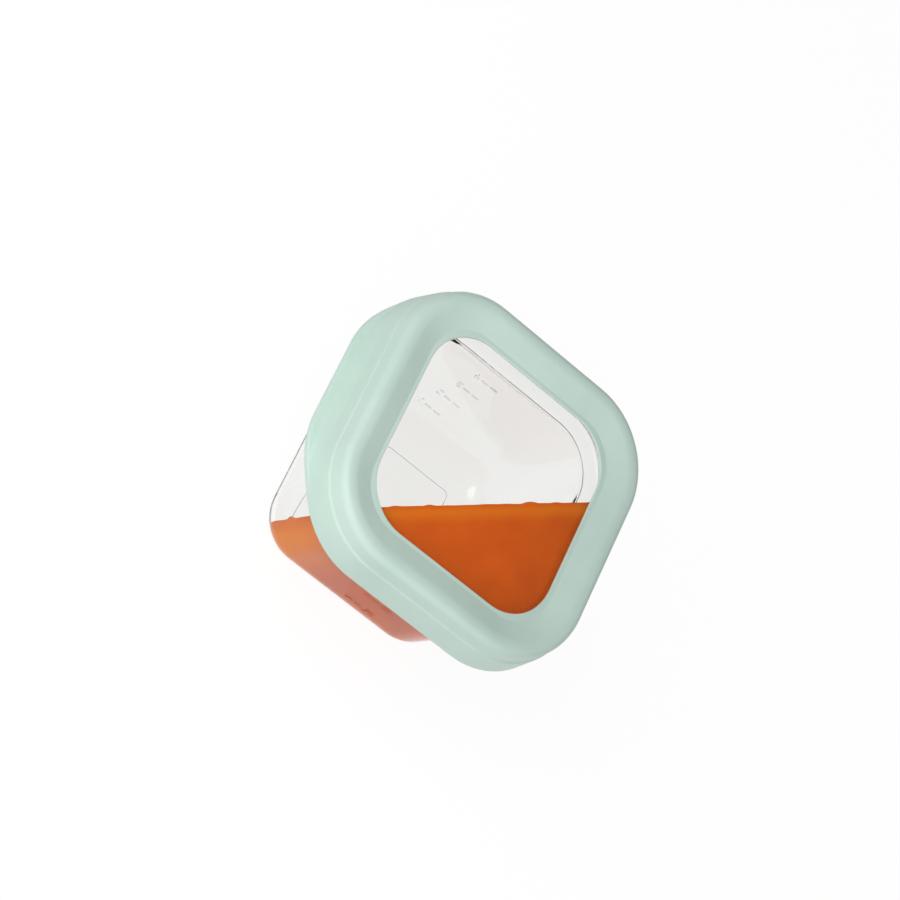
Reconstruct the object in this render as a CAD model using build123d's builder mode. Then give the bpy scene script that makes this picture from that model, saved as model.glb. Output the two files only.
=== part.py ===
from build123d import *
import math
import os

# Square freezer cup for baby food: a clear cup, a soft ring lid with a clear window, and its contents.
# Millimetres, +Z up, origin at the centre of the standing pad under the cup.

# Cup body
base_width = 60.0  # where the drafted walls would meet the base plane
body_height = 45.0  # standing plane to the underside of the shoulder
body_draft = 4.0  # degrees
base_edge_radius = 11.2  # the large rolled edge between base and walls
base_corner_land = 2.0  # corner radius left on the flat of the base
cup_wall = 1.6
floor_thickness = 1.8
foot_height = 0.6
foot_inset = 0.5  # standing pad set in from the flat of the base
foot_edge = 0.3

# Cup collar and rim
shoulder_reach = 4.5  # outside of the body to the outside of the collar
collar_height = 10.2  # shoulder underside to rim top
shoulder_thickness = 1.6
shoulder_edge_radius = 1.2
shoulder_bend_radius = 0.8  # outside of the bend from the wall into the shoulder
shoulder_blend_radius = 0.8
rim_bead_reach = 1.0
rim_bead_height = 2.4
rim_edge_radius = 0.7

# Lid ring
skirt_overhang = 5.4  # outside of the collar to the outside of the skirt's lower edge
lid_corner_radius = 25.0
lid_height = 15.0  # skirt bottom to ridge crest
crown_thickness = 4.9  # ridge crest down to the face that sits on the rim
skirt_height = 9.0  # skirt bottom to the step under the ridge
skirt_lean = 0.9
skirt_edge_radius = 0.6
step_depth = 0.5
step_height = 0.6
step_blend_radius = 0.4
ridge_inset = 4.1  # outside of the skirt to the crest line
ridge_radius = 2.2
ridge_break = 1.5  # crest line to where the inner slope starts
ridge_inner_radius = 4.5
ledge_foot_inset = 11.6  # outside of the skirt to where the inner slope meets the ledge
ledge_drop = 2.6  # crest down to the ledge
ledge_blend_radius = 1.0
ring_wall = 1.7
seat_blend_radius = 0.5
snap_bead_height = 1.8
snap_bead_lift = 1.4  # skirt bottom to the lower end of the snap bead
snap_bead_radius = 0.5

# Window panel and its groove in the ring
ledge_width = 1.2  # foot of the inner slope to the window's edge
window_corner_ease = 2.1  # what the window's corners are rounder than the ridge's
window_edge_radius = 0.3
panel_thickness = 1.8
panel_lap = 3.0  # width of panel edge held under the ring
pane_rise = 0.25  # the part of the panel that shows stands above its held edge
upper_lip = 0.7
lower_lip = 0.9
lower_lip_setback = 1.2

# Sealing lip that goes down inside the collar
plug_wall = 1.5
plug_depth = 4.5  # below the lower lip
plug_edge_radius = 0.5

# Lift tab on the -X side
tab_reach = 4.4
tab_inset = 1.0  # end of the skirt's straight side to the end of the tab's straight edge
tab_corner_radius = 8.0
tab_end_angle = 24.0  # degrees round the skirt's corners to where the tab runs out
tab_thickness = 1.8
tab_edge_radius = 0.5
gusset_reach = 2.0  # blend between the tab and the skirt
gusset_rise = 3.4
gusset_inset = 4.0  # as tab_inset
gusset_end_angle = 8.0  # degrees

# Contents, set at the slope they lay at
fill_heading = 126.3  # degrees in plan, the way the free surface faces
fill_tilt = 4.9  # degrees above level that the free surface faces
fill_offset = 3.0  # origin to the free surface

# Fits
lid_clearance = 0.3  # between lid and cup
contents_gap = 0.3
panel_fit = 0.05

# Heights worked out from the sizes above
rim_top = body_height + collar_height
shoulder_top = body_height + shoulder_thickness
seat_face = rim_top + lid_clearance
crest_top = seat_face + crown_thickness
skirt_bottom = crest_top - lid_height
ledge_top = crest_top - ledge_drop
panel_top = ledge_top - upper_lip
panel_bottom = panel_top - panel_thickness
lip_bottom = panel_bottom - lower_lip
plug_bottom = lip_bottom - plug_depth
floor_top = foot_height + floor_thickness

# Half widths worked out from the sizes above
draft_slope = math.tan(math.radians(body_draft))
body_top_half = base_width / 2 + (body_height - foot_height) * draft_slope
collar_half = body_top_half + shoulder_reach
lid_half = collar_half + skirt_overhang
collar_inner_half = collar_half - cup_wall
rim_half = collar_half + rim_bead_reach
plug_half = collar_inner_half - lid_clearance
plug_inner_half = plug_half - plug_wall
snap_half = rim_half + lid_clearance
window_half = lid_half - ledge_foot_inset - ledge_width
panel_half = window_half + panel_lap
ring_inner_half = window_half - panel_lap
flank_half = lid_half - skirt_lean - step_depth
skirt_inner_half = flank_half - ring_wall
corner_place = lid_half - lid_corner_radius
window_corner_radius = window_half - corner_place + window_corner_ease
edge_setback_share = math.tan(math.radians(90 - body_draft) / 2)
edge_setback = base_edge_radius * edge_setback_share
base_corner_radius = base_corner_land + edge_setback


def rounded_square(half_width, corner_radius):
    return RectangleRounded(half_width * 2, half_width * 2, corner_radius)


def corner_at(half_width):
    # Every ring of the lid and collar shares the centres of the lid's corners.
    return half_width - corner_place


def swept_ring(section_points, section_radii):
    # A section drawn on the +X side, carried once round the rounded square.
    with BuildPart() as ring:
        with BuildLine() as path:
            run = Line((collar_half, 0), (collar_half, corner_place))
            for run_length in (corner_place * 2, corner_place * 2, corner_place * 2, corner_place):
                bend = JernArc(run @ 1, run % 1, corner_at(collar_half), 90)
                run = Line(bend @ 1, bend @ 1 + (bend % 1) * run_length)
        with BuildSketch(Plane.XZ):
            with BuildLine():
                FilletPolyline(*section_points, radius=section_radii, close=True)
            make_face()
        sweep(path=path.wire())
    return ring.part


def drafted_half(height, inset):
    return base_width / 2 + (height - foot_height) * draft_slope - inset


def drafted_block(bottom, top, inset):
    # A widening block that follows the cup's walls at a set distance inside them, its lower edge rolled.
    half_width = drafted_half(bottom, inset)
    corner_radius = base_corner_radius + half_width - base_width / 2
    with BuildPart() as block:
        with BuildSketch(Plane.XY.offset(bottom)):
            rounded_square(half_width, corner_radius)
        extrude(amount=top - bottom, taper=-body_draft)
        fillet(block.faces().sort_by(Axis.Z)[0].edges(), base_edge_radius - inset)
    return block.part


def skirt_outside(height):
    return lid_half - skirt_lean * (height - skirt_bottom) / skirt_height


def skirt_inside(height):
    return skirt_inner_half + skirt_lean * (seat_face - height) / (seat_face - skirt_bottom)


# Cup: drafted body, shoulder, collar with a rim bead, and a standing pad under the base
collar_section = {
    (drafted_half(body_height, cup_wall + cup_wall), body_height): 0,
    (collar_half, body_height): shoulder_edge_radius,
    (collar_half, rim_top - rim_bead_height): 0,
    (rim_half, rim_top - rim_bead_height): rim_edge_radius,
    (rim_half, rim_top): rim_edge_radius,
    (collar_inner_half, rim_top): rim_edge_radius,
    (collar_inner_half, shoulder_top): shoulder_blend_radius,
    (drafted_half(body_height, cup_wall + cup_wall), shoulder_top): 0,
}
with BuildPart() as cup:
    add(drafted_block(foot_height, shoulder_top, 0))
    add(swept_ring(collar_section.keys(), collar_section.values()))
    fillet(cup.edges(Select.NEW).group_by(Axis.Z)[0], shoulder_bend_radius)
    add(drafted_block(floor_top, rim_top, cup_wall), mode=Mode.SUBTRACT)
    fillet(cup.edges(Select.NEW).group_by(Axis.Z)[-1], shoulder_bend_radius + cup_wall)
    with BuildSketch():
        rounded_square(base_width / 2 - edge_setback - foot_inset, base_corner_land)
    extrude(amount=foot_height)
    chamfer(cup.faces().sort_by(Axis.Z)[0].edges(), foot_edge)
cup.part.label = "cup"


def tab_outline(height, reach, inset, end_angle):
    # Runs out of the skirt's corners on both sides, and ends in the middle of the skirt's wall.
    tip = skirt_outside(height) + reach
    middle = (skirt_outside(height) + skirt_inside(height)) / 2
    end = Vector(corner_place, corner_place) + Vector(corner_at(middle)).rotate(Axis.Z, end_angle)
    outline = {
        (-tip, inset - corner_place): tab_corner_radius,
        (-tip, corner_place - inset): tab_corner_radius,
        (-end.X, end.Y): 0,
        (-middle, corner_place): 0,
        (-middle, -corner_place): 0,
        (-end.X, -end.Y): 0,
    }
    with BuildSketch(Plane.XY.offset(height)) as tab_plan:
        with BuildLine():
            FilletPolyline(*outline.keys(), radius=outline.values(), close=True)
        make_face()
    return tab_plan.sketch.face()


# Lift tab: a lip at the skirt's lower edge, with a gusset that blends it into the skirt
tab_top = skirt_bottom + tab_thickness
gusset_top = tab_top + gusset_rise
with BuildPart() as lift_tab:
    extrude(tab_outline(skirt_bottom, tab_reach, tab_inset, tab_end_angle), amount=tab_thickness)
    fillet(lift_tab.faces().filter_by(Plane.XY).edges(), tab_edge_radius)
    gusset_foot = tab_outline(tab_top - tab_edge_radius, gusset_reach, gusset_inset, gusset_end_angle)
    gusset_head = tab_outline(gusset_top, 0, gusset_inset, gusset_end_angle)
    loft([gusset_foot, gusset_head])

# Lid ring: skirt, ridge, ledge, sealing lip and snap bead in one section, then the window and its groove
bead_foot = skirt_bottom + snap_bead_lift
bead_top = bead_foot + snap_bead_height
ring_section = {
    (lid_half, skirt_bottom): skirt_edge_radius,
    (skirt_outside(skirt_bottom + skirt_height), skirt_bottom + skirt_height): skirt_edge_radius,
    (flank_half, skirt_bottom + skirt_height + step_height): step_blend_radius,
    (lid_half - ridge_inset + ridge_radius, crest_top): ridge_radius,
    (lid_half - ridge_inset - ridge_break, crest_top): ridge_inner_radius,
    (lid_half - ledge_foot_inset, ledge_top): ledge_blend_radius,
    (ring_inner_half, ledge_top): 0,
    (ring_inner_half, lip_bottom): 0,
    (plug_inner_half, lip_bottom): plug_edge_radius,
    (plug_inner_half, plug_bottom): plug_edge_radius,
    (plug_half, plug_bottom): plug_edge_radius,
    (plug_half, seat_face): seat_blend_radius,
    (skirt_inner_half, seat_face): seat_blend_radius,
    (skirt_inside(bead_top), bead_top): snap_bead_radius,
    (snap_half, (bead_foot + bead_top) / 2): snap_bead_radius,
    (skirt_inside(bead_foot), bead_foot): snap_bead_radius,
    (skirt_inside(skirt_bottom), skirt_bottom): skirt_edge_radius,
}
with BuildPart() as lid_frame:
    add(swept_ring(ring_section.keys(), ring_section.values()))
    add(lift_tab.part)
    with BuildSketch(Plane.XY.offset(lip_bottom)):
        rounded_square(window_half + lower_lip_setback, window_corner_radius + lower_lip_setback)
    extrude(amount=lower_lip, mode=Mode.SUBTRACT)
    with BuildSketch(Plane.XY.offset(panel_bottom)):
        rounded_square(panel_half + panel_fit, window_corner_radius + panel_lap + panel_fit)
    extrude(amount=panel_thickness, mode=Mode.SUBTRACT)
    with BuildSketch(Plane.XY.offset(panel_top)):
        rounded_square(window_half, window_corner_radius)
    extrude(amount=upper_lip, mode=Mode.SUBTRACT)
    fillet(lid_frame.edges(Select.LAST).group_by(Axis.Z)[-1], window_edge_radius)
lid_frame.part.label = "lid_frame"

# Window: a flat clear panel whose edge sits in the ring's groove, with a slightly raised pane
with BuildPart() as lid_window:
    with BuildSketch(Plane.XY.offset(panel_bottom)):
        rounded_square(panel_half, window_corner_radius + panel_lap)
    extrude(amount=panel_thickness)
    with BuildSketch(Plane.XY.offset(panel_top)):
        rounded_square(window_half - panel_fit, window_corner_radius - panel_fit)
    extrude(amount=pane_rise)
lid_window.part.label = "lid_window"

# Contents: what fills the cup and the space under the window, cut off at the free surface
fill_facing = Vector(1, 0, 0).rotate(Axis.Y, -fill_tilt).rotate(Axis.Z, fill_heading)
free_surface = Plane(origin=fill_facing * -fill_offset, z_dir=fill_facing)
with BuildPart() as puree:
    add(drafted_block(floor_top + contents_gap, lip_bottom - contents_gap, cup_wall + contents_gap))
    with BuildSketch(Plane.XY.offset(shoulder_top + contents_gap)):
        rounded_square(plug_inner_half - contents_gap, corner_at(plug_inner_half - contents_gap))
    extrude(amount=lip_bottom - shoulder_top - contents_gap * 2)
    under_window = lower_lip_setback - contents_gap
    with BuildSketch(Plane.XY.offset(panel_bottom - contents_gap)):
        rounded_square(window_half + under_window, window_corner_radius + under_window)
    extrude(amount=shoulder_top - panel_bottom)
    split(bisect_by=free_surface, keep=Keep.BOTTOM)
puree.part.label = "puree"

os.makedirs("parts", exist_ok=True)
for piece in (cup, lid_frame, lid_window, puree):
    export_step(piece.part, f"parts/{piece.part.label}.step")
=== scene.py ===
import bpy, bmesh, math
from mathutils import Matrix, Vector, noise


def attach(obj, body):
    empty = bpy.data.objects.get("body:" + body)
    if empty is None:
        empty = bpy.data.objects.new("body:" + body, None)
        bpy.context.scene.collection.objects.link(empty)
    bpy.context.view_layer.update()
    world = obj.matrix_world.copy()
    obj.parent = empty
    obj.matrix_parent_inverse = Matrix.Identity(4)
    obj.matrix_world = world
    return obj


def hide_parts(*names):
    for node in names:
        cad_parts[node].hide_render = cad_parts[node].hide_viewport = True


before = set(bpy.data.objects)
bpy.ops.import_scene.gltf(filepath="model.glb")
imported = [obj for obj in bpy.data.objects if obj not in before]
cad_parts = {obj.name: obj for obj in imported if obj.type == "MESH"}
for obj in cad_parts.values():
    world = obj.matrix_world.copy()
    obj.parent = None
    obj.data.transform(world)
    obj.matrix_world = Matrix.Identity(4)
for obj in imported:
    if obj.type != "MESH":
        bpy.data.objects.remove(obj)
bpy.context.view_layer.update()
scene = bpy.context.scene
mm = 0.001
print("frame loaded:", ", ".join(sorted(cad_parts)))


# mesh helpers, all for rounded squares that are drawn as a section and carried round

meshing = dict(arcStep=9, fewest=3, merge=0.002)  # degrees in a rounding's segment, least segments, mm


def sectionWire(bm, points):
    # each point is half width, height and rounding in mm, on the +X side
    verts = [bm.verts.new((half * mm, 0, height * mm)) for half, height, rounding in points]
    for near, far in zip(verts, verts[1:]):
        bm.edges.new((near, far))
    places = [v.co.copy() for v in verts]
    for i, rounding in enumerate(point[2] for point in points):
        if rounding:
            turn = (places[i] - places[i - 1]).angle(places[i + 1] - places[i])
            segments = max(meshing["fewest"], round(math.degrees(turn) / meshing["arcStep"]))
            bmesh.ops.bevel(
                bm, geom=[verts[i]], affect="VERTICES", offset=rounding * mm * math.tan(turn / 2),
                offset_type="OFFSET", segments=segments, profile=0.5, material=-1)


def pushEdges(bm, edges, way):
    made = bmesh.ops.extrude_edge_only(bm, edges=edges)["geom"]
    verts = [g for g in made if isinstance(g, bmesh.types.BMVert)]
    bmesh.ops.translate(bm, verts=verts, vec=way)
    fresh = set(verts)
    return [g for g in made if isinstance(g, bmesh.types.BMEdge) and fresh.issuperset(g.verts)]


def carryRound(bm, points, corner, steps=24, runs=1):
    # half a side, one corner and half the next side; mirrorQuarter makes the rest
    before = set(bm.edges)
    sectionWire(bm, points)
    edges = [e for e in bm.edges if e not in before]
    for _ in range(runs):
        edges = pushEdges(bm, edges, (0, corner * mm / runs, 0))
    verts = list({v for e in edges for v in e.verts})
    spun = bmesh.ops.spin(
        bm, geom=verts + edges, cent=(corner * mm, corner * mm, 0), axis=(0, 0, 1),
        dvec=(0, 0, 0), angle=math.pi / 2, steps=steps, use_merge=False)
    edges = [g for g in spun["geom_last"] if isinstance(g, bmesh.types.BMEdge)]
    for _ in range(runs):
        edges = pushEdges(bm, edges, (-corner * mm / runs, 0, 0))


def mirrorQuarter(bm):
    near = meshing["merge"] * mm
    for axis in "XY":
        quarter = bm.verts[:] + bm.edges[:] + bm.faces[:]
        bmesh.ops.mirror(bm, geom=quarter, matrix=Matrix(), merge_dist=near, axis=axis)
    bmesh.ops.remove_doubles(bm, verts=bm.verts[:], dist=near)


def openLoop(bm, half, height):
    # the open edge loop that passes this place on the X axis
    place = Vector((half * mm, 0, height * mm))
    rim = [v for v in bm.verts if v.is_boundary]
    vert = min(rim, key=lambda v: (v.co - place).length)
    loop = []
    while True:
        onward = [e for e in vert.link_edges if e.is_boundary and e not in loop]
        if not onward:
            return loop
        loop.append(onward[0])
        vert = onward[0].other_vert(vert)


def bridgeLoops(bm, one, other):
    bmesh.ops.bridge_loops(bm, edges=openLoop(bm, *one[:2]) + openLoop(bm, *other[:2]))


def closeLoop(bm, point):
    bmesh.ops.contextual_create(bm, geom=openLoop(bm, *point[:2]))


def squareHalf(x, y, corner):
    # half width of the rounded square that passes this point
    x, y = abs(x), abs(y)
    if x <= corner or y <= corner:
        return max(x, y)
    return corner + math.hypot(x - corner, y - corner)


def meshFrom(bm, name):
    bmesh.ops.recalc_face_normals(bm, faces=bm.faces[:])
    mesh = bpy.data.meshes.new(name)
    bm.to_mesh(mesh)
    bm.free()
    return mesh


def joinedShape(base, tool, way):
    # one mesh from two, by Blender's own exact boolean
    lower = bpy.data.objects.new("lower", base)
    upper = bpy.data.objects.new("upper", tool)
    scene.collection.objects.link(lower)
    scene.collection.objects.link(upper)
    join = lower.modifiers.new("join", "BOOLEAN")
    join.object, join.operation, join.solver = upper, way, "EXACT"
    bpy.context.view_layer.update()
    mesh = bpy.data.meshes.new_from_object(lower.evaluated_get(bpy.context.evaluated_depsgraph_get()))
    bpy.data.objects.remove(lower)
    bpy.data.objects.remove(upper)
    return mesh


def placePiece(mesh, name, node, body, material, sharp=38):
    # sharp is the angle in degrees past which an edge is shaded as one
    mesh.polygons.foreach_set("use_smooth", [True] * len(mesh.polygons))
    mesh.set_sharp_from_angle(angle=math.radians(sharp))
    mesh.materials.clear()
    mesh.materials.append(material)
    piece = bpy.data.objects.new(name, mesh)
    scene.collection.objects.link(piece)
    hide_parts(node)
    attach(piece, body)
    print("piece:", name, len(mesh.polygons), "faces")


# node helpers

noiseSpan = (0.3, 0.7)  # where most of a noise texture's values lie


def newMaterial(name, sockets):
    material = bpy.data.materials.new(name)
    material.use_nodes = True
    shader = material.node_tree.nodes["Principled BSDF"]
    for socket, value in sockets.items():
        shader.inputs[socket].default_value = value
    return material, material.node_tree, shader


def noiseNode(tree, scale, detail, roughness=0.55):
    coords = tree.nodes.new("ShaderNodeTexCoord")
    cloud = tree.nodes.new("ShaderNodeTexNoise")
    cloud.inputs["Scale"].default_value = scale
    cloud.inputs["Detail"].default_value = detail
    cloud.inputs["Roughness"].default_value = roughness
    tree.links.new(coords.outputs["Object"], cloud.inputs["Vector"])
    return cloud.outputs["Fac"]


def mathNode(tree, way, *terms):
    step = tree.nodes.new("ShaderNodeMath")
    step.operation = way
    for socket, term in zip(step.inputs, terms):
        if isinstance(term, (int, float)):
            socket.default_value = term
        else:
            tree.links.new(term, socket)
    return step.outputs[0]


def alongNode(tree, coords, way):
    along = tree.nodes.new("ShaderNodeVectorMath")
    along.operation = "DOT_PRODUCT"
    along.inputs[1].default_value = way
    tree.links.new(coords, along.inputs[0])
    return along.outputs["Value"]


def spreadNode(tree, value, first, last):
    # first and last each pair a value with what it becomes
    spread = tree.nodes.new("ShaderNodeMapRange")
    for end, (given, wanted) in (("Min", first), ("Max", last)):
        spread.inputs["From " + end].default_value = given
        spread.inputs["To " + end].default_value = wanted
    tree.links.new(value, spread.inputs["Value"])
    return spread.outputs["Result"]


def roughFrom(tree, cloud, limits):
    return spreadNode(tree, cloud, (noiseSpan[0], limits[0]), (noiseSpan[1], limits[1]))


def colourBetween(tree, factor, stops):
    ramp = tree.nodes.new("ShaderNodeValToRGB")
    for element, (place, colour) in zip(ramp.color_ramp.elements, (stops[0], stops[-1])):
        element.position, element.color = place, (*colour, 1)
    for place, colour in stops[1:-1]:
        ramp.color_ramp.elements.new(place).color = (*colour, 1)
    tree.links.new(factor, ramp.inputs["Fac"])
    return ramp.outputs["Color"]


def bumpFrom(tree, height, strength, distance):
    bump = tree.nodes.new("ShaderNodeBump")
    bump.inputs["Strength"].default_value = strength
    bump.inputs["Distance"].default_value = distance
    tree.links.new(height, bump.inputs["Height"])
    return bump.outputs["Normal"]


def mixShaders(tree, share, first, second):
    mixed = tree.nodes.new("ShaderNodeMixShader")
    tree.links.new(share, mixed.inputs[0])
    tree.links.new(first.outputs[0], mixed.inputs[1])
    tree.links.new(second.outputs[0], mixed.inputs[2])
    tree.links.new(mixed.outputs[0], tree.nodes["Material Output"].inputs["Surface"])


# lid ring: one section from the ledge over the ridge, down the skirt and up inside to the sealing lip

ring = dict(corner=18.005, windowCorner=15.905, steps=26, runs=14, sharp=50)
ring["outside"] = [
    (31.0, 57.8, 0), (31.405, 57.8, 1.0), (37.405, 60.4, 4.5), (41.105, 60.4, 2.2), (41.605, 55.0, 0.4),
    (42.105, 54.4, 0.6), (42.485, 50.6, 0), (42.545, 50.0, 0), (42.625, 49.2, 0), (42.725, 48.2, 0),
    (42.80, 47.45, 0), (42.823, 47.22, 0), (42.825, 47.2, 0), (42.83, 47.15, 0), (42.847, 46.98, 0),
    (42.875, 46.7, 0), (43.005, 45.4, 0.6), (40.805, 45.4, 0.6), (40.680, 46.8, 0.5), (38.905, 47.7, 0.5),
    (40.520, 48.6, 0.5), (39.905, 55.5, 0.5), (35.705, 55.5, 0.5), (35.705, 49.9, 0.5), (34.205, 49.9, 0.5),
    (34.205, 54.4, 0.5), (33.0, 54.4, 0)]
ring["inside"] = [
    (30.7, 57.8, 0), (30.205, 57.8, 0.3), (30.205, 57.1, 0), (33.255, 57.1, 0), (33.255, 55.3, 0),
    (31.405, 55.3, 0), (31.405, 54.4, 0)]
# the tab's reach, half of its flat and of its whole length, and the part of the skirt that it comes out of
ring["tab"] = dict(reach=4.6, flat=12.0, end=33.0, beyond=30.0, outOf=42.2)
ring["tabShare"] = [  # up to this height, the share of its reach by which the tab is drawn out
    (46.72, 1.0), (47.0, 0.967), (47.16, 0.90), (47.205, 0.80), (47.23, 0.46), (47.46, 0.37), (48.3, 0.25),
    (49.3, 0.12), (50.1, 0.04)]

mintFinish = dict(
    cloud=dict(scale=55, detail=4), colours=[(0.35, (0.630, 0.815, 0.728)), (0.65, (0.670, 0.845, 0.760))],
    rough=(0.40, 0.52), grain=dict(scale=2600, detail=2), grainBump=(0.08, 0.0001))  # strength, distance
mintFinish["sockets"] = {
    "Subsurface Weight": 0.12, "Subsurface Radius": (0.7, 1.0, 0.85), "Subsurface Scale": 0.0015,
    "Specular IOR Level": 0.45}


def mintMaterial():
    material, tree, shader = newMaterial("mintSoftRing", mintFinish["sockets"])
    cloud = noiseNode(tree, **mintFinish["cloud"])
    grain = noiseNode(tree, **mintFinish["grain"])
    tree.links.new(colourBetween(tree, cloud, mintFinish["colours"]), shader.inputs["Base Color"])
    tree.links.new(roughFrom(tree, cloud, mintFinish["rough"]), shader.inputs["Roughness"])
    tree.links.new(bumpFrom(tree, grain, *mintFinish["grainBump"]), shader.inputs["Normal"])
    return material


def tabShare(height):
    for top, share in ring["tabShare"]:
        if height <= top * mm:
            return share
    return 0


def drawTab(bm):
    # the lift tab is drawn out of the skirt's lower edge on the -X side
    tab = ring["tab"]
    for v in bm.verts:
        onSkirt = squareHalf(v.co.x, v.co.y, ring["corner"] * mm) > tab["outOf"] * mm
        if onSkirt and v.co.x < -tab["beyond"] * mm:
            along = (tab["end"] * mm - abs(v.co.y)) / ((tab["end"] - tab["flat"]) * mm)
            along = min(max(along, 0), 1)
            v.co.x -= tab["reach"] * mm * tabShare(v.co.z) * along * along * (3 - 2 * along)


bm = bmesh.new()
carryRound(bm, ring["outside"], ring["corner"], ring["steps"], ring["runs"])
carryRound(bm, ring["inside"], ring["windowCorner"], ring["steps"], ring["runs"])
mirrorQuarter(bm)
bridgeLoops(bm, ring["outside"][0], ring["inside"][0])
bridgeLoops(bm, ring["outside"][-1], ring["inside"][-1])
drawTab(bm)
placePiece(meshFrom(bm, "lidRing"), "lidRing", "lid_frame", "lid", mintMaterial(), ring["sharp"])


# lid window: a clear panel held in the ring's groove, with a slightly raised pane

pane = dict(corner=15.905, steps=26)
pane["section"] = [
    (29.0, 57.35, 0), (30.155, 57.35, 0.12), (30.155, 57.1, 0), (33.205, 57.1, 0.1), (33.205, 55.3, 0.1),
    (29.0, 55.3, 0)]

clearFinish = dict(cloud=dict(scale=90, detail=3), flow=dict(scale=38, detail=1), flowDistance=0.002)
clearFinish["sockets"] = {"Transmission Weight": 1, "IOR": 1.36}
clearFinish["cup"] = dict(tint=(0.945, 0.947, 0.938), rough=(0.0, 0.02), wave=0.03, shadow=0.90)
clearFinish["window"] = dict(tint=(0.952, 0.950, 0.938), rough=(0.0, 0.015), wave=0.02, shadow=0.93)


def clearMaterial(name, finish):
    material, tree, shader = newMaterial(name, clearFinish["sockets"])
    shader.inputs["Base Color"].default_value = (*finish["tint"], 1)
    cloud = noiseNode(tree, **clearFinish["cloud"])
    flow = noiseNode(tree, **clearFinish["flow"])
    tree.links.new(roughFrom(tree, cloud, finish["rough"]), shader.inputs["Roughness"])
    tree.links.new(bumpFrom(tree, flow, finish["wave"], clearFinish["flowDistance"]), shader.inputs["Normal"])
    # lamps reach what lies behind the clear walls
    rays = tree.nodes.new("ShaderNodeLightPath")
    through = tree.nodes.new("ShaderNodeBsdfTransparent")
    through.inputs["Color"].default_value = (finish["shadow"],) * 3 + (1,)
    mixShaders(tree, rays.outputs["Is Shadow Ray"], shader, through)
    return material


bm = bmesh.new()
carryRound(bm, pane["section"], pane["corner"], pane["steps"])
mirrorQuarter(bm)
closeLoop(bm, pane["section"][0])
closeLoop(bm, pane["section"][-1])
clearWindow = clearMaterial("clearWindow", clearFinish["window"])
placePiece(meshFrom(bm, "lidWindow"), "lidWindow", "lid_window", "lid", clearWindow)


# cup: outside, collar with rim bead, inside, and raised volume marks on two walls

cup = dict(bodyCorner=17.56, collarCorner=18.005, draft=4.0, baseHalf=30.0, baseHeight=0.6)
cup["outside"] = [
    (18.9, 0, 0), (19.06, 0.16, 0), (19.06, 0.6, 0), (30.0, 0.6, 11.2), (33.105, 45.0, 0.8), (35.0, 45.0, 0)]
cup["collar"] = [
    (35.4, 45.0, 0), (37.605, 45.0, 1.2), (37.605, 52.8, 0), (38.605, 52.8, 0.7), (38.605, 55.2, 0.7),
    (36.005, 55.2, 0.7), (36.005, 46.6, 0.8), (35.1, 46.6, 0)]
cup["inside"] = [  # a fine step marks the shoulder's edge
    (34.8, 46.6, 0), (33.45, 46.6, 2.0), (32.36, 46.02, 0), (32.36, 45.84, 0), (32.18, 45.84, 0),
    (31.49, 44.75, 2.0), (28.526, 2.4, 9.6), (18.9, 2.4, 0)]
cup["marks"] = [  # side, height, number
    (-1, 12.73, "30"), (-1, 21.63, "60"), (-1, 30.19, "90"), (-1, 38.44, "120"),
    (1, 12.5, "1"), (1, 21.2, "2"), (1, 29.7, "3"), (1, 37.8, "4")]
cup["mark"] = dict(proud=0.22, sunk=0.35, merge=0.001, start=0.6, tickWidth=0.42)
cup["number"] = dict(shift=6.4, size=3.4)
cup["ticks"] = [(0.0, 2.4), (3.3, 2.2)]  # start and length of a long and a short one

bm = bmesh.new()
carryRound(bm, cup["outside"], cup["bodyCorner"])
carryRound(bm, cup["collar"], cup["collarCorner"])
carryRound(bm, cup["inside"], cup["bodyCorner"])
mirrorQuarter(bm)
bridgeLoops(bm, cup["outside"][-1], cup["collar"][0])
bridgeLoops(bm, cup["collar"][-1], cup["inside"][0])
closeLoop(bm, cup["outside"][0])
closeLoop(bm, cup["inside"][-1])
cupMesh = meshFrom(bm, "cupPlain")


def wallPlace(side, x, height):
    # stands a mark on the -Y or +Y wall, which leans out by the draft
    lean = math.radians(cup["draft"])
    half = cup["baseHalf"] + (height - cup["baseHeight"]) * math.tan(lean)
    across = Vector((-side, 0, 0))
    upward = Vector((0, side * math.sin(lean), math.cos(lean)))
    outward = across.cross(upward)
    turn = Matrix((across, upward, outward)).transposed().to_4x4()
    return Matrix.Translation(Vector((x * mm, side * half * mm, height * mm))) @ turn


def addMark(bm, side, height, number):
    mark = cup["mark"]
    deep, proud = mark["sunk"] * mm, mark["proud"] * mm
    onWall = wallPlace(side, side * mark["start"], height)
    for start, length in cup["ticks"]:
        made = bmesh.ops.create_cube(bm, size=1)["verts"]
        bmesh.ops.scale(bm, vec=(length * mm, mark["tickWidth"] * mm, deep + proud), verts=made)
        bmesh.ops.translate(bm, vec=((start + length / 2) * mm, 0, (proud - deep) / 2), verts=made)
        bmesh.ops.transform(bm, matrix=onWall, verts=made)
    words = bpy.data.curves.new("volumeNumber", "FONT")
    words.body, words.size, words.extrude = number, cup["number"]["size"] * mm, (deep + proud) / 2
    words.align_y = "CENTER"
    holder = bpy.data.objects.new("volumeNumber", words)
    letters = bpy.data.meshes.new_from_object(holder)
    letters.transform(onWall @ Matrix.Translation((cup["number"]["shift"] * mm, 0, (proud - deep) / 2)))
    bm.from_mesh(letters)
    bpy.data.objects.remove(holder)
    bpy.data.curves.remove(words)
    bpy.data.meshes.remove(letters)


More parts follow.
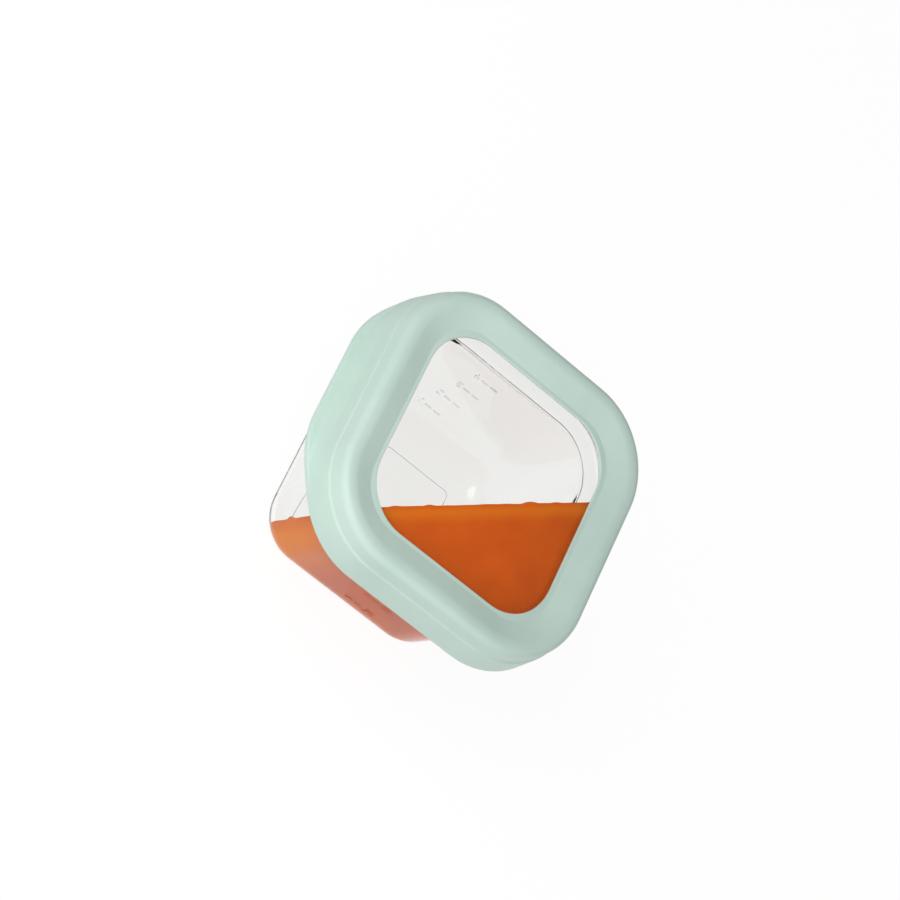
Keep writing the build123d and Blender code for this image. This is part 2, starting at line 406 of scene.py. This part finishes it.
bm = bmesh.new()
for side, height, number in cup["marks"]:
    addMark(bm, side, height, number)
bmesh.ops.remove_doubles(bm, verts=bm.verts[:], dist=cup["mark"]["merge"] * mm)
marked = joinedShape(cupMesh, meshFrom(bm, "volumeMarks"), "UNION")
clearCup = clearMaterial("clearCup", clearFinish["cup"])
placePiece(marked, "freezerCup", "cup", "cup", clearCup)


# contents: the inside of cup and lid, cut off by a slightly uneven free surface that climbs at the walls

filling = dict(bodyCorner=17.56, collarCorner=18.005, windowCorner=15.905)
filling["heading"], filling["tilt"], filling["offset"] = 126.3, 4.9, 3.0  # of the free surface
filling["body"] = [(18.9, 2.34, 0), (28.586, 2.34, 9.66), (31.673, 46.54, 2.3), (33.85, 46.54, 0)]
filling["collar"] = [(34.0, 46.54, 0), (34.0, 54.25, 0.3), (33.0, 54.25, 0)]
filling["underWindow"] = [(31.2, 54.25, 0), (31.2, 55.34, 0.2), (29.0, 55.34, 0)]
filling["room"] = dict(half=28.5, base=2.5, shoulder=46.7, collarHalf=33.95, top=55.1)  # where it climbs
filling["grid"] = dict(segments=200, half=62, shift=27, depth=80)
filling["ripple"] = dict(height=0.22, waves=[(90, 0.6), (260, 0.4)])  # scale and share of each wave
filling["climb"] = dict(height=0.7, reach=0.7, least=0.4, bits=2.2, bitScale=190, bitsAbove=0.12)

bm = bmesh.new()
carryRound(bm, filling["body"], filling["bodyCorner"])
carryRound(bm, filling["collar"], filling["collarCorner"])
carryRound(bm, filling["underWindow"], filling["windowCorner"])
mirrorQuarter(bm)
bridgeLoops(bm, filling["body"][-1], filling["collar"][0])
bridgeLoops(bm, filling["collar"][-1], filling["underWindow"][0])
closeLoop(bm, filling["body"][0])
closeLoop(bm, filling["underWindow"][-1])
fillMesh = meshFrom(bm, "fillPlain")

heading, tilt = math.radians(filling["heading"]), math.radians(filling["tilt"])
facing = Vector((math.cos(tilt) * math.cos(heading), math.cos(tilt) * math.sin(heading), math.sin(tilt)))
across = Vector((-math.sin(heading), math.cos(heading), 0))
surfacePlace = Matrix((across, facing.cross(across), facing)).transposed().to_4x4()
surfacePlace = Matrix.Translation(facing * -filling["offset"] * mm) @ surfacePlace


def wallGap(p):
    # distance in mm to the wall, the collar or the window that bounds the contents here
    room, z = filling["room"], p.z / mm
    lean = math.tan(math.radians(cup["draft"]))
    corner, half = filling["bodyCorner"], room["half"] + (z - room["base"]) * lean
    if z > room["shoulder"]:
        corner, half = filling["collarCorner"], room["collarHalf"]
    return max(0, min(half - squareHalf(p.x / mm, p.y / mm, corner), room["top"] - z, z - room["base"]))


def surfaceLift(p):
    # how far in mm the free surface stands off its plane
    ripple, climb = filling["ripple"], filling["climb"]
    swell = sum(noise.noise(p * scale) * share for scale, share in ripple["waves"])
    bits = climb["least"] + climb["bits"] * max(0, noise.noise(p * climb["bitScale"]) - climb["bitsAbove"])
    return climb["height"] * math.exp(-wallGap(p) / climb["reach"]) * bits + ripple["height"] * swell


pureeFinish = dict(
    cloud=dict(scale=70, detail=5, roughness=0.6), rough=(0.34, 0.50),
    colours=[(0.30, (0.68, 0.107, 0.002)), (0.50, (0.74, 0.127, 0.002)), (0.72, (0.80, 0.148, 0.003))],
    pulp=dict(scale=900, detail=3), pulpBump=(0.25, 0.0003))  # strength, distance
pureeFinish["sockets"] = {
    "Specular IOR Level": 0.15, "Subsurface Weight": 0.15, "Subsurface Radius": (1.0, 0.35, 0.1),
    "Subsurface Scale": 0.002}
# painted light: it pales to a lighter painted glow under its free surface, standing in for light that
# scatters in there, deeper and more so low in the cup
pureeFinish["thin"] = (0.95, 0.27, 0.004)
pureeFinish["low"] = dict(height=20.0, depth=17.0, share=1.0)
pureeFinish["high"] = dict(height=50.0, depth=5.0, share=0.48)
pureeFinish["paling"] = [(0, (0.40,) * 3), (0.25, (1, 1, 1)), (1, (0, 0, 0))]  # along that depth


def byHeight(tree, height, what, unit=1):
    ends = (pureeFinish["low"], pureeFinish["high"])
    first, last = [(end["height"] * mm, end[what] * unit) for end in ends]
    return spreadNode(tree, height, first, last)


def pureeMaterial():
    material, tree, shader = newMaterial("orangePuree", pureeFinish["sockets"])
    cloud = noiseNode(tree, **pureeFinish["cloud"])
    pulp = noiseNode(tree, **pureeFinish["pulp"])
    coords = tree.nodes.new("ShaderNodeTexCoord").outputs["Object"]
    places = tree.nodes.new("ShaderNodeSeparateXYZ")
    tree.links.new(coords, places.inputs[0])
    depth = mathNode(tree, "SUBTRACT", -filling["offset"] * mm, alongNode(tree, coords, facing))
    part = mathNode(tree, "DIVIDE", depth, byHeight(tree, places.outputs["Z"], "depth", mm))
    # painted glow: the colour pales towards the painted glow colour near the free surface
    paling = colourBetween(tree, part, pureeFinish["paling"])
    paling.node.color_ramp.interpolation = "EASE"
    share = mathNode(tree, "MULTIPLY", paling, byHeight(tree, places.outputs["Z"], "share"))
    blend = tree.nodes.new("ShaderNodeMix")
    blend.data_type = "RGBA"
    blend.inputs["B"].default_value = (*pureeFinish["thin"], 1)
    tree.links.new(share, blend.inputs["Factor"])
    tree.links.new(colourBetween(tree, cloud, pureeFinish["colours"]), blend.inputs["A"])
    tree.links.new(blend.outputs["Result"], shader.inputs["Base Color"])
    tree.links.new(roughFrom(tree, pulp, pureeFinish["rough"]), shader.inputs["Roughness"])
    tree.links.new(bumpFrom(tree, pulp, *pureeFinish["pulpBump"]), shader.inputs["Normal"])
    return material


grid = filling["grid"]
bm = bmesh.new()
bmesh.ops.create_grid(bm, x_segments=grid["segments"], y_segments=grid["segments"], size=grid["half"] * mm)
bmesh.ops.translate(bm, vec=(0, grid["shift"] * mm, 0), verts=bm.verts[:])
bmesh.ops.transform(bm, matrix=surfacePlace, verts=bm.verts[:])
for v in bm.verts:
    v.co += facing * mm * surfaceLift(v.co)
under = bmesh.ops.extrude_face_region(bm, geom=bm.faces[:])["geom"]
lowered = [g for g in under if isinstance(g, bmesh.types.BMVert)]
bmesh.ops.translate(bm, vec=facing * -grid["depth"] * mm, verts=lowered)
poured = joinedShape(fillMesh, meshFrom(bm, "freeSurface"), "INTERSECT")
placePiece(poured, "pureeFill", "puree", "cup", pureeMaterial())


# floor, light and camera

# glow is the share of plain white in what the camera, gloss and glass see of the floor
floorLook = dict(size=6.0, drop=0.05, colour=(0.90, 0.90, 0.895), rough=0.9, glow=0.85, shine=1.08)
bm = bmesh.new()
bmesh.ops.create_grid(bm, x_segments=2, y_segments=2, size=floorLook["size"] / 2)
# a little lower, so that it shares no face with the pad
bmesh.ops.translate(bm, vec=(0, 0, -floorLook["drop"] * mm), verts=bm.verts[:])
floorMesh = bpy.data.meshes.new("floor")
bm.to_mesh(floorMesh)
bm.free()
floor = bpy.data.objects.new("floor", floorMesh)
scene.collection.objects.link(floor)
material, tree, shader = newMaterial("paleFloor", {
    "Base Color": (*floorLook["colour"], 1), "Roughness": floorLook["rough"], "Specular IOR Level": 0})
rays = tree.nodes.new("ShaderNodeLightPath").outputs
seen = mathNode(tree, "ADD", rays["Is Camera Ray"], rays["Is Glossy Ray"])
seen = mathNode(tree, "ADD", seen, rays["Is Transmission Ray"])
seen.node.use_clamp = True
white = tree.nodes.new("ShaderNodeEmission")
white.inputs["Color"].default_value = (1, 1, 1, 1)
white.inputs["Strength"].default_value = floorLook["shine"]
mixShaders(tree, mathNode(tree, "MULTIPLY", seen, floorLook["glow"]), shader, white)
floorMesh.materials.append(material)

studio = dict(even=(0.29, 0.29, 0.29), side=(0.97, 0.97, 0.97), towards=(0, -0.989, 0.148), fade=2)
world = bpy.data.worlds.new("studio")
scene.world = world
world.use_nodes = True
tree = world.node_tree
coords = tree.nodes.new("ShaderNodeTexCoord").outputs["Generated"]
sideways = mathNode(tree, "MAXIMUM", alongNode(tree, coords, studio["towards"]), 0)
sideways = mathNode(tree, "POWER", sideways, studio["fade"])
sideways.node.use_clamp = True
brightest = tuple(a + b for a, b in zip(studio["even"], studio["side"]))
tree.links.new(colourBetween(tree, sideways, [(0, studio["even"]), (1, brightest)]),
               tree.nodes["Background"].inputs["Color"])

keyLamp = dict(place=(-0.16, -0.05, 0.22), target=(0, 0, 0.05), size=0.18, power=0.25)  # metres and watts
lamp = bpy.data.lights.new("keyLamp", "AREA")
lamp.shape, lamp.size, lamp.energy = "DISK", keyLamp["size"], keyLamp["power"]
holder = bpy.data.objects.new("keyLamp", lamp)
holder.location = keyLamp["place"]
aim = Vector(keyLamp["place"]) - Vector(keyLamp["target"])
holder.rotation_euler = aim.to_track_quat("Z", "Y").to_euler()
scene.collection.objects.link(holder)

shot = dict(place=(-382.81, -432.40, 806.84), target=(-7.83, 5.15, 45.4), up=(-0.5724, 0.8026, 0.1680),
            lens=145.6, sensor=36, near=0.05, far=20)
eye = bpy.data.cameras.new("photoView")
eye.lens, eye.sensor_width = shot["lens"], shot["sensor"]
eye.clip_start, eye.clip_end = shot["near"], shot["far"]
camera = bpy.data.objects.new("photoView", eye)
place = Vector(shot["place"])
back = (place - Vector(shot["target"])).normalized()
right = Vector(shot["up"]).cross(back).normalized()
turned = Matrix((right, back.cross(right), back)).transposed().to_4x4()
camera.matrix_world = Matrix.Translation(place * mm) @ turned
scene.collection.objects.link(camera)
scene.camera = camera
scene.view_settings.view_transform = "Standard"
scene.cycles.max_bounces = scene.cycles.transmission_bounces = 32  # light runs far inside the clear walls
print("stage, light and camera set")

bpy.context.view_layer.update()
